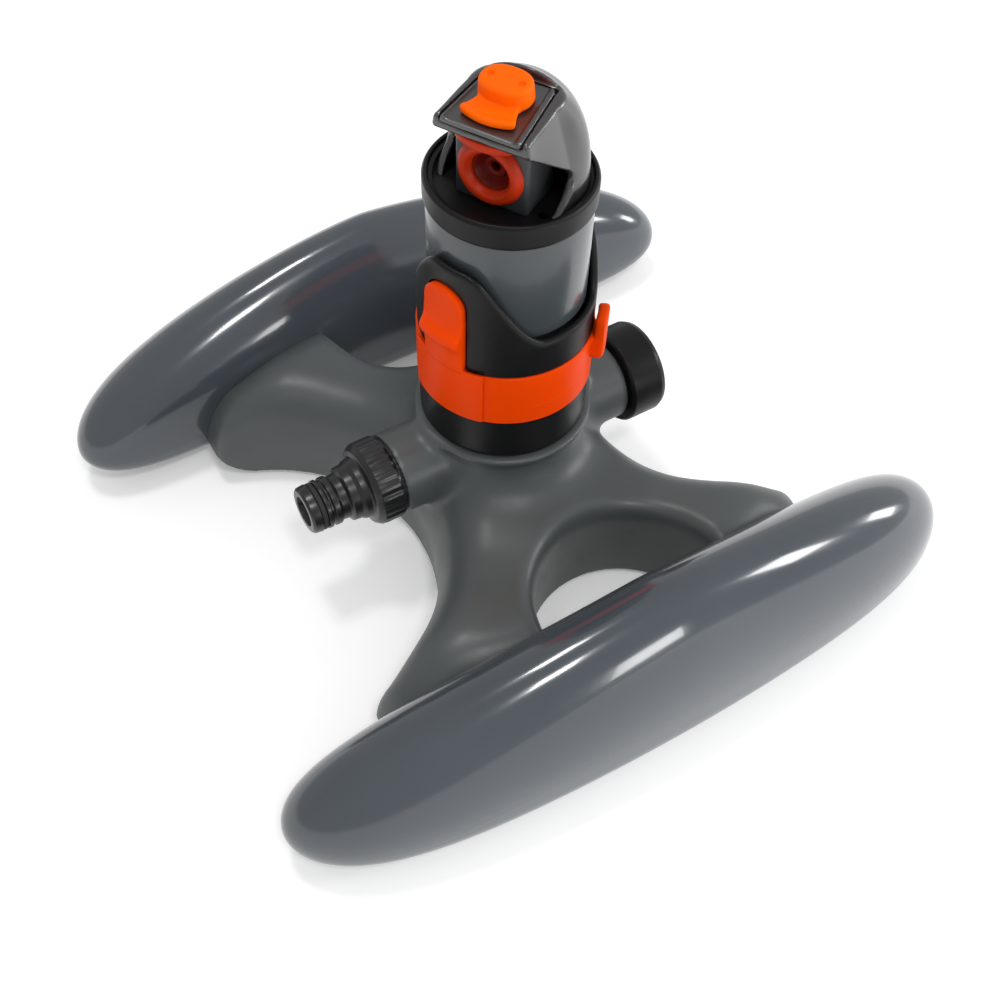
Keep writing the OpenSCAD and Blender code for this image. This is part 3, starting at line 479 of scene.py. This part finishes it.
def hub_field(x, y, z):
    r = np.hypot(x, y)
    plan = arm_plan(x, y)
    lip = np.clip((z - 56.5) / 5.5, 0, 1)
    column = keep(r - column_r - lip_flare * lip * lip * (3 - 2 * lip), z - hub_top + 0.15, 1.8)
    skirt = spread(r, z)
    arms = keep(keep(plan, skirt, 20), windows(x, y), 7)
    outer = keep(melt(arms, column, 8), z - hub_top + 0.15, 1.8)
    stub = keep(np.hypot(y, z - port_z) - port_r, np.abs(x) - shoulder, 1.0)
    outer = melt(outer, stub, 5)
    core = np.minimum(np.hypot(y, z - port_z) - port_r + 3, keep(r - 19, 36 - z, 2))
    hollow = keep(outer + hub_wall, -core, 2)
    solid = keep(outer, -hollow, 0.6)
    lifted = np.clip((np.abs(x) - 76) / 13.5, 0, 1)
    solid = keep(solid, 3.0 + 10 * lifted * lifted - z, 0.8)
    spigot = keep(np.hypot(y, z - port_z) - spigot_r, np.abs(x) - spigot_end, 0.8)
    solid = np.minimum(solid, spigot)
    bore = np.hypot(y, z - port_z) - bore_r
    solid = keep(solid, -bore, 0.4)
    well = np.minimum(keep(r - 17, 61 - z, 0.1), keep(r - 7, port_z - z, 0.1))
    return keep(solid, -well, 0.3)


hub = carve("sled_hub", hub_field, (-91, -94, 1), (91, 94, 66), detail(1.0))
fit(hub, satin_grey, "base", "satin_grey", "base_hub")

# %% [markdown]
# A black seat ring sits on the hub and carries both arc collars on a thin sleeve.
# The sleeve has a long slot for the inner lug of the lower collar. Rings with
# slots, lugs and tabs are easiest to describe unrolled: radius, length along the
# rim and height. The carver closes the rim on itself and rolls it back up.

# %% Seat ring
RIM = 29.0


def along(azimuth):
    """Length along the rim for a direction in degrees."""
    return math.radians(azimuth) * RIM


def rim_gap(s, azimuth):
    """Signed rim length from a direction, the short way round."""
    turn_len = 2 * math.pi * RIM
    return (s - along(azimuth) + turn_len / 2) % turn_len - turn_len / 2


def ring_field(r, z, r_in, r_out, z_low, z_high, corner):
    return block(r - (r_in + r_out) / 2, z - (z_low + z_high) / 2, (r_out - r_in) / 2,
                 (z_high - z_low) / 2, corner)


def seat_field(r, s, z):
    seat = ring_field(r, z, 26.4, 29.4, hub_top, seat_top, 0.7)
    seat = np.minimum(seat, ring_field(r, z, 26.4, 27.5, seat_top - 4, 113.4, 0.3))
    seat = np.minimum(seat, ring_field(r, z, 17.2, 28, hub_top, hub_top + 3, 0.3))
    slot = block(rim_gap(s, -30), z - 94.5, math.radians(47) * RIM, 1.9, 1)
    return keep(seat, -slot, 0.3)


def full_rim(name, field, r_low, r_high, z_low, z_high, cell):
    low = (r_low, along(-180), z_low)
    high = (r_high, along(180), z_high)
    return carve(name, field, low, high, cell, ring=True, to_space=rolled(RIM))


rim_cell = detail(0.75)
seat = full_rim("seat_collar", seat_field, 16, 30.6, hub_top - 1.2, 114.8, rim_cell)
fit(seat, satin_black, "base", "black_plastic", "seat_ring")

# %% [markdown]
# The lower arc collar is a red-orange band with a standing tab at one side and a
# small lug inside that reaches through the slot.

# %% Arc band
tab_b = -42.0
tab_a = -163.5
lug_a = tab_a + 25


def band_field(r, s, z):
    band = ring_field(r, z, 27.55, 30.1, 81.7, 103.2, 0.5)
    line = block(r - 30.1, z - 88.4, 0.22, 0.35, 0.2)
    line = keep(line, np.abs(rim_gap(s, -88)) - 8, 0.3)
    band = melt(band, line, 0.3)
    lug = keep(block(r - 26.5, z - 94.5, 1.3, 1.5, 0.2), np.abs(rim_gap(s, tab_b)) - 1.4, 0.2)
    width = np.abs(rim_gap(s, tab_b)) - 4.4
    root = keep(block(r - 31.4, z - 98, 1.9, 4.2, 1), width, 1.2)
    fin = block(r - 32.5, z - 103.2, 1.9, 9.2, 1.5)
    arch = np.hypot(np.maximum(np.abs(rim_gap(s, tab_b)) - 1.0, 0), np.maximum(z - 108.6, 0)) - 3.6
    fin = keep(fin, np.maximum(width, arch), 1.2)
    return melt(np.minimum(band, lug), melt(root, fin, 1), 1.0)


band = full_rim("arc_band_collar", band_field, 24.2, 35.2, 80.6, 114.2, rim_cell)
fit(band, red_orange, "arc_band", "red_orange", "arc_band")

# %% [markdown]
# The upper arc collar is a black shroud. Its top edge rises and falls in two
# waves, and an arched slot in one hump holds the orange grip.

# %% Arc shroud
shroud_low = 103.6


def wave_top(s):
    """Height of the wavy edge: low across two valleys, high on two humps."""
    from_valley = np.abs((np.degrees(s / RIM) + 70 + 90) % 180 - 90)
    t = np.clip((from_valley - 25) / 55, 0, 1)
    return 117 + 26.5 * t * t * (3 - 2 * t)


def arch_slot(s, z, half_w, top):
    across = np.abs(rim_gap(s, tab_a))
    return np.where(z > top - half_w, np.hypot(across, z - top + half_w), across) - half_w


def shroud_field(r, s, z):
    outside = np.maximum(r - 29.6, shroud_low - z)
    room = np.minimum(np.maximum(r - 27.6, z - 114), r - 26.75)
    shell = keep(outside, -room, 0.3)
    shell = keep(shell, (z - wave_top(s)) * 0.75, 1.5)
    lug = keep(block(r - 26.4, z - 115, 1.2, 1.0, 0.2), np.abs(rim_gap(s, lug_a)) - 1.4, 0.2)
    return keep(np.minimum(shell, lug), -arch_slot(s, z, 8.15, 136.4), 0.8)


shroud = full_rim("arc_shroud_collar", shroud_field, 24.2, 30.8, 102.4, 145.2, rim_cell)
fit(shroud, satin_black, "arc_shroud", "black_plastic", "arc_shroud")

# %% [markdown]
# The grip fills the arched slot. Its ledge gives the thumb something to push,
# and its curved side panel overlaps the band below.

# %% Arc grip
def grip_field(r, s, z):
    arch = arch_slot(s, z, 7.7, 136.0)
    plate = keep(keep(np.abs(r - 29.65) - 1.75, arch, 1.0), shroud_low - z, 0.3)
    swell = 31.0 + 3.0 * np.exp(-((z - 116.5) / 4.2) ** 2)
    ledge = keep(keep(r - swell, 28.4 - r, 0.4), arch + 0.4, 1.2)
    ledge = keep(ledge, np.abs(z - 115) - 9.5, 1)
    panel = ring_field(r, z, 30.3, 31.1, 82.4, 104.2, 0.35)
    panel = keep(panel, np.abs(rim_gap(s, tab_a)) - math.radians(29) * RIM, 0.8)
    return melt(melt(plate, ledge, 1.2), panel, 0.8)


grip_cell = detail(0.6)
grip = carve("arc_grip", grip_field, (27, along(-196), 81.6), (36, along(-131), 137.6), grip_cell,
             to_space=rolled(RIM))
fit(grip, red_orange, "arc_shroud", "red_orange", "arc_tab")

# %% [markdown]
# The turret body is a plain turned tube with a step: narrow inside the collars,
# full width above them. Under its top a black collar holds the head in place.

# %% Turret body and top collar
body_outline = [(21.8, 90, 0.2), (24, 90, 0.4), (24, body_step, 0.2), (26.1, body_step, 0.5),
                (26.1, collar_foot, 0.3), (25.2, collar_foot, 0), (25.2, 160.8, 0.2), (23.9, 160.8, 0.2),
                (23.9, 118.2, 0.2), (21.8, 118.2, 0.2), (21.8, 103, 0), (20.6, 103, 0), (20.6, 101, 0),
                (21.8, 101, 0)]
body = turn("turret_tube", body_outline, sides=192, closed=True)
fit(body, turret_grey, "turret", "turret_grey", "turret_body")
collar_outline = [(25.22, collar_foot, 0), (26.6, collar_foot, 0.4), (27, collar_foot + 1, 0.6),
                  (27, collar_top - 1, 0.8), (26.3, collar_top, 0.6), (25.3, collar_top, 0.5),
                  (25.0, collar_top - 1.2, 0.4), (23.65, collar_top - 1.5, 0.2),
                  (23.65, 160.85, 0), (25.22, 160.85, 0)]
collar = turn("head_collar", collar_outline, sides=192, closed=True)
fit(collar, satin_black, "turret", "black_plastic", "top_collar")

# %% [markdown]
# The head looks like a helmet: a dome, a flat visor that stands out in front and
# a mouth that opens to both sides. It is worked out facing forward along X and
# then turned into place as a whole.

# %% Hood
facing = Matrix.Rotation(math.radians(-150.7), 4, "Z")
visor_reach, visor_back, visor_front, visor_slope = 20.4, -6.0, 189.0, 5.0
stem_slot_x = 6.6
tilt = math.tan(math.radians(visor_slope))
hood_foot = foot_of("hood")


def visor_plane(x):
    return visor_front + (visor_reach - x) * tilt


def visor_half(x):
    return 12.9 + (15.2 - 12.9) * (x - visor_back) / (visor_reach - visor_back)


def dome_field(x, y, z, inset):
    r = np.hypot(x, y)
    tall = np.maximum(z - 163, 0) / (31.2 - inset)
    return ((r / (23.5 - inset)) ** 2.3 + tall ** 2.3) ** (1 / 2.3) * (23.5 - inset) - (23.5 - inset)


def mouth_field(x, z):
    brow = (z - (185.4 - (visor_reach - x) * 0.76)) * 0.8
    cheek = (0.5 + (168 - z) * 1.0 - x) * 0.7
    return keep(brow, cheek, 5)


def cheek_half(x, z):
    """Half width between the flattened cheeks, which open out towards the back."""
    drop = np.maximum(visor_plane(x) - z, 0)
    return visor_half(x) + 0.6 + 0.42 * drop + 0.8 * np.maximum(2 - x, 0)


def helmet(x, y, z):
    """Outside of the hood before anything is cut away."""
    dome = keep(dome_field(x, y, z, 0), (np.abs(y) - cheek_half(x, z)) * 0.85, 9)
    side = (np.abs(y) - visor_half(x) - 0.16 * np.maximum(visor_plane(x) - z, 0)) * 0.98
    wedge = keep(keep(side, x - visor_reach + 0.7, 1.2), 172 - z + (visor_reach - x) * 0.1, 3)
    wedge = keep(wedge, visor_back + 2 - x, 6)
    return melt(dome, wedge, 6)


def hood_field(x, y, z):
    shape = helmet(x, y, z)
    above = z - visor_plane(x)
    room = np.maximum(shape + 2.5, above + 3.4)
    shape = keep(shape, -np.maximum(-above, visor_back - x), 1.6)
    pocket = np.maximum(np.maximum(np.abs(y) - visor_half(x) + 1.7, visor_back + 0.5 - x), -(above + 1.8))
    shape = keep(shape, -pocket, 0.4)
    shape = keep(shape, -np.maximum(block(x - stem_slot_x, y, 5.4, 2.6, 0.8), -(above + 7)), 0.3)
    shape = keep(shape, -room, 0.5)
    shape = keep(shape, -mouth_field(x, z), 1.0)
    return keep(shape, hood_foot - z, 0.3)


hood = carve("helmet_hood", hood_field, (-25, -25, hood_foot - 1), (23, 25, 201), detail(0.6),
             place=facing)
fit(hood, gunmetal, "turret", "graphite_gloss", "hood")

# %% [markdown]
# The visor is a separate graphite plate let into the hood. It has a thin raised
# rim down each side, and the slider's stem runs in a slot along its middle.

# %% Visor
on_visor = (facing @ Matrix.Translation((visor_reach, 0, visor_front))
            @ Matrix.Rotation(math.radians(visor_slope), 4, "Y") @ Matrix.Translation((-visor_reach, 0, 0)))


def visor_field(x, y, z):
    side = (np.abs(y) - visor_half(x) + 2.2) * 0.99
    plate = keep(keep(side, x - visor_reach + 0.1, 1.6), visor_back + 1 - x, 1.6)
    rim = 0.6 * np.exp(-((np.abs(y) - visor_half(x) + 3.3) / 0.6) ** 2)
    plate = keep(plate, np.maximum(z - rim, -1.7 - z), 0.5)
    slot = np.maximum(block(x - stem_slot_x, y, 5.2, 2.4, 0.8), -3 - z)
    return keep(plate, -slot, 0.3)


visor = carve("visor_panel", visor_field, (-12, -14, -3.2), (22, 14, 1.6), detail(0.4),
              place=on_visor)
fit(visor, gunmetal, "turret", "graphite_gloss", "visor_plate")

# %% [markdown]
# The range slider is the bright orange piece on top: a low round knob with two
# finger dimples, and in front of it a tongue that flares towards a rounded rim.
# Under the visor its foot carries the curved lip above the nozzle.

# %% Range slider
knob_x, knob_half_x, knob_half_y, knob_h = 4.6, 6.2, 8.3, 6.6


def slider_field(x, y, z):
    across = (np.abs((x - knob_x) / knob_half_x) ** 2.4 + np.abs(y / knob_half_y) ** 2.4) ** (1 / 2.4) - 1
    across = across * knob_half_x
    knob = keep(across + np.maximum(z - 1, 0) * 0.06, np.maximum(z - 0.3 - knob_h, 0.3 - z), 1.2)
    for e in (-1, 1):
        dimple = np.sqrt((x - knob_x) ** 2 + (y - e * 4.9) ** 2 + (z - 0.3 - knob_h - 0.1) ** 2) - 1.2
        knob = keep(knob, -dimple, 0.3)
    flare = np.abs(y) - 6.6 - 2.6 * np.clip((x - 9) / 7, 0, 1) ** 1.4
    front = np.hypot(x - 2, y * 0.9) - 16.0
    tongue = keep(keep(flare, front, 1.6), knob_x - x, 0.2)
    rim = 0.45 * np.clip((np.hypot(x - 2, y * 0.9) - 13.2) / 2, 0, 1)
    tongue = keep(tongue, np.maximum(z - 2.3 - rim, 0.3 - z), 0.9)
    stem = np.maximum(block(x - knob_x, y, 2, 2, 0.3), np.abs(z + 1.3) - 2.6)
    foot = keep(block(x - 10.6, y, 8.4, 6, 1), np.abs(z + 4.5) - 0.6, 0.2)
    return np.minimum(np.minimum(melt(knob, tongue, 0.8), stem), foot)


slider = carve("range_knob", slider_field, (-11.4, -12.4, -7), (22.4, 12.4, 7), detail(0.42),
               place=on_visor)
fit(slider, bright_orange, "range_slider", "orange", "range_slider")


def lip_field(x, y, z):
    bow = np.abs(np.hypot(x - 6.4, y * 0.95) - 14.0) - 0.9
    band = keep(np.maximum(bow, 8 - x), np.abs(y) - 9.6, 1.2)
    return keep(band, np.abs(z + 5.2) - 1.3, 0.6)


lip = carve("spray_lip", lip_field, (7, -11, -8), (22, 11, -3), detail(0.4), place=on_visor)
# the lip takes the darker red-orange as painted shade from the visor above it
fit(lip, shaded_red_orange, "range_slider", "red_orange")

# %% [markdown]
# A broad upright block carries the nozzle. The nozzle itself is two turned
# pieces: a thick soft ring and a deep cone with a small hole.

# %% Nozzle and its carrier
nozzle_z = 170.4


def carrier_field(x, y, z):
    plan = block(x - 4.2, y, 8.6, 12.2, 1.4)
    body = keep(plan, z - 181, 1.5)
    body = keep(body, helmet(x, y, z) + 2.8, 0.6)
    body = keep(body, hood_foot + 0.05 - z, 0.2)
    socket = np.maximum(np.hypot(y, z - nozzle_z) - 7.4, 6.4 - x)
    bore = np.maximum(np.hypot(y, z - nozzle_z) - 4.6, -x)
    riser = np.maximum(np.hypot(x, y) - 4.6, z - nozzle_z)
    return keep(body, -np.minimum(np.minimum(socket, bore), riser), 0.4)


carrier = carve("nozzle_carrier", carrier_field, (-7, -13.8, hood_foot - 1), (14.2, 13.8, 182.4),
                detail(0.6), place=facing)
fit(carrier, charcoal, "turret", "black_plastic", "riser_tube")
forward = facing @ Matrix.Translation((0, 0, nozzle_z)) @ Matrix.Rotation(math.pi / 2, 4, "Y")
ring_outline = [(7.2, 7.2, 0.3), (10.4, 7.2, 0.6), (11, 9, 0.8), (11, 13.2, 1.8), (9.6, 15.2, 1.4),
                (7.6, 15.2, 1.2), (6.4, 13.2, 0.8), (6.4, 10.4, 0.2), (7.2, 10.0, 0.1)]
nozzle_rim = turn("nozzle_rim", ring_outline, closed=True, place=forward)
# the ring takes the darker red-orange as painted shade from the visor above it
fit(nozzle_rim, shaded_red_orange, "turret", "red_orange", "nozzle_ring")
cone_outline = [(1.5, 8.0, 0.1), (6.35, 8.0, 0.2), (6.35, 12.4, 0.3), (5.9, 12.4, 0.3), (4.0, 9.4, 0.5),
                (3.4, 10.4, 0.4), (2.4, 10.4, 0.3), (1.5, 9.8, 0.3)]
nozzle_throat = turn("nozzle_throat", cone_outline, closed=True, place=forward)
fit(nozzle_throat, deep_orange, "turret", "deep_orange", "nozzle_cone")

# %% [markdown]
# The two water ports are turned on the hose line. The tap adaptor has a nut with
# soft grip ribs and a stepped nipple, and the outlet is shut by a plain cap.

# %% Water ports
to_inlet = Matrix.Translation((0, 0, port_z)) @ Matrix.Rotation(-math.pi / 2, 4, "Y")
to_outlet = Matrix.Translation((0, 0, port_z)) @ Matrix.Rotation(math.pi / 2, 4, "Y")


def grip_ribs(angle, r, z):
    if r < 14.4 or z < 48.4 or z > 56.0:
        return 0.0
    return -0.45 * (0.5 - 0.5 * math.cos(20 * angle)) ** 2


nut_outline = [(13, 47.3, 0.2), (14.8, 47.3, 0.8), (15.5, 48.6, 0.6), (15.5, 50, 0), (15.5, 52, 0),
               (15.5, 54, 0), (15.3, 56.2, 0.8), (13.9, 58.2, 1.2), (11.4, 58.7, 0.8), (11.0, 61, 1.0),
               (10.2, 62.4, 0.6), (10.0, 65.2, 0.6), (8.4, 66, 0.5), (8.2, 68.7, 0.5), (9.0, 69.7, 0.4),
               (9.0, 71.6, 0.3), (8.3, 72.0, 0.2), (8.3, 72.7, 0.2), (9.0, 73.1, 0.3), (9.0, 74.5, 0.3),
               (6.8, 74.5, 0), (6.8, 76.9, 0), (8.9, 76.9, 0.2), (8.6, 79.7, 0.5),
               (7.8, 80.5, 0.4), (5.6, 80.5, 0.4), (5, 78, 0.3), (5, 56, 0), (13, 56, 0)]
adaptor = turn("tap_adaptor", nut_outline, sides=480, closed=True, wave=grip_ribs, place=to_inlet)
fit(adaptor, gloss_black, "base", "black_plastic", "inlet_adaptor")
seal_outline = [(6.85, 74.6, 0.4), (8.7, 74.6, 0.9), (8.7, 76.8, 0.9), (6.85, 76.8, 0.4)]
nipple_seal = turn("nipple_seal", seal_outline, closed=True, place=to_inlet)
fit(nipple_seal, rubber, "base", "rubber", "nipple_oring")
cap_outline = [(0, 57.2), (12.95, 57.2, 0), (12.95, 47.3, 0.2), (17.2, 47.3, 0.6), (17.9, 48.3, 0.6),
               (17.9, 60, 1.8), (16.9, 62.2, 1.2), (14.4, 62.5, 0.6), (13.4, 62.1, 0.4), (0, 62.1)]
outlet_stopper = turn("outlet_stopper", cap_outline, place=to_outlet)
fit(outlet_stopper, satin_black, "base", "black_plastic", "outlet_cap")

# %% [markdown]
# Every other node keeps its own exact shape from the part and only takes a
# finish that suits it.

# %% Finishes for the nodes that stay
finishes = {"steel": steel, "white_acetal": acetal, "rubber": rubber, "black_plastic": satin_black,
            "gloss_black": gloss_black, "orange": bright_orange, "red_orange": red_orange,
            "deep_orange": deep_orange, "satin_grey": satin_grey, "gloss_grey": gloss_grey,
            "turret_grey": turret_grey, "graphite_gloss": gunmetal}
slot_of = {row["node"]: row["material_slot"] for row in frame["record"]["subparts"]}
for node, part in frame["nodes"].items():
    for index in range(max(1, len(part.material_slots))):
        finish = black_steel if node == "hood_screws" else finishes[slot_of[node]]
        if not part.material_slots:
            part.data.materials.append(finish)
        part.material_slots[index].material = finish
print("finished", len(frame["nodes"]), "nodes")

# %% [markdown]
# The camera looks down on the sprinkler from the inlet's end of the front runner.
# Its three directions are unit vectors, and its place is in millimetres.

# %% Camera
def studio_camera():
    camera = bpy.data.objects.new("camera", bpy.data.cameras.new("camera"))
    scene.collection.objects.link(camera)
    camera.data.lens = 46.76
    camera.data.sensor_width = 36
    right = Vector((0.85419, -0.51935, 0.02524))
    up = Vector((0.39720, 0.68307, 0.61290))
    back = Vector((-0.33555, -0.51350, 0.78976))
    pose = Matrix((right, up, back)).transposed().to_4x4()
    pose.translation = Vector((-172.13, -264.65, 408.29)) * MM
    camera.matrix_world = pose
    camera.data.clip_start = 0.01
    scene.camera = camera


studio_camera()
print("camera ready")

# %% [markdown]
# A white floor that glows a little and a white world fill the shadows. Five
# rectangular lamps make the bright streaks on the gloss.

# %% Floor and light
def studio():
    bpy.ops.mesh.primitive_plane_add(size=6, location=(0, 0, 0))
    floor = bpy.context.object
    floor.name = "studio_floor"
    paper = bpy.data.materials.new("studio_paper")
    paper.use_nodes = True
    surface = paper.node_tree.nodes["Principled BSDF"]
    surface.inputs["Base Color"].default_value = (0.95, 0.95, 0.95, 1)
    surface.inputs["Roughness"].default_value = 0.9
    surface.inputs["Emission Color"].default_value = (1, 1, 1, 1)
    surface.inputs["Emission Strength"].default_value = 0.22
    floor.data.materials.append(paper)
    world = bpy.data.worlds.new("studio_world")
    scene.world = world
    world.use_nodes = True
    world.node_tree.nodes["Background"].inputs["Color"].default_value = (1, 1, 1, 1)
    world.node_tree.nodes["Background"].inputs["Strength"].default_value = 0.6


def soft_lamp(name, location, target, size, size_y, power):
    lamp = bpy.data.objects.new(name, bpy.data.lights.new(name, "AREA"))
    lamp.data.shape = "RECTANGLE"
    lamp.data.size, lamp.data.size_y = size, size_y
    lamp.data.energy = power
    lamp.location = location
    direction = Vector(target) - Vector(location)
    lamp.rotation_euler = direction.to_track_quat("-Z", "Y").to_euler()
    scene.collection.objects.link(lamp)


studio()
soft_lamp("top_front_box", (-0.161, -0.677, 1.335), (0, 0, 0.05), 0.2, 0.2, 4.2)
soft_lamp("top_rear_box", (-0.105, 0.294, 1.449), (0, 0, 0.05), 0.22, 0.2, 4.2)
soft_lamp("low_front_window", (0.34, -1.4, 0.32), (0, 0, 0.06), 0.3, 0.3, 3.5)
soft_lamp("side_window", (1.14, -0.7, 0.7), (0, 0, 0.06), 0.3, 0.3, 5)
soft_lamp("low_side_window", (1.45, -0.27, 0.35), (0, 0, 0.06), 0.24, 0.24, 2.5)
scene.view_settings.view_transform = "Standard"
scene.view_settings.look = "None"
print("studio ready")
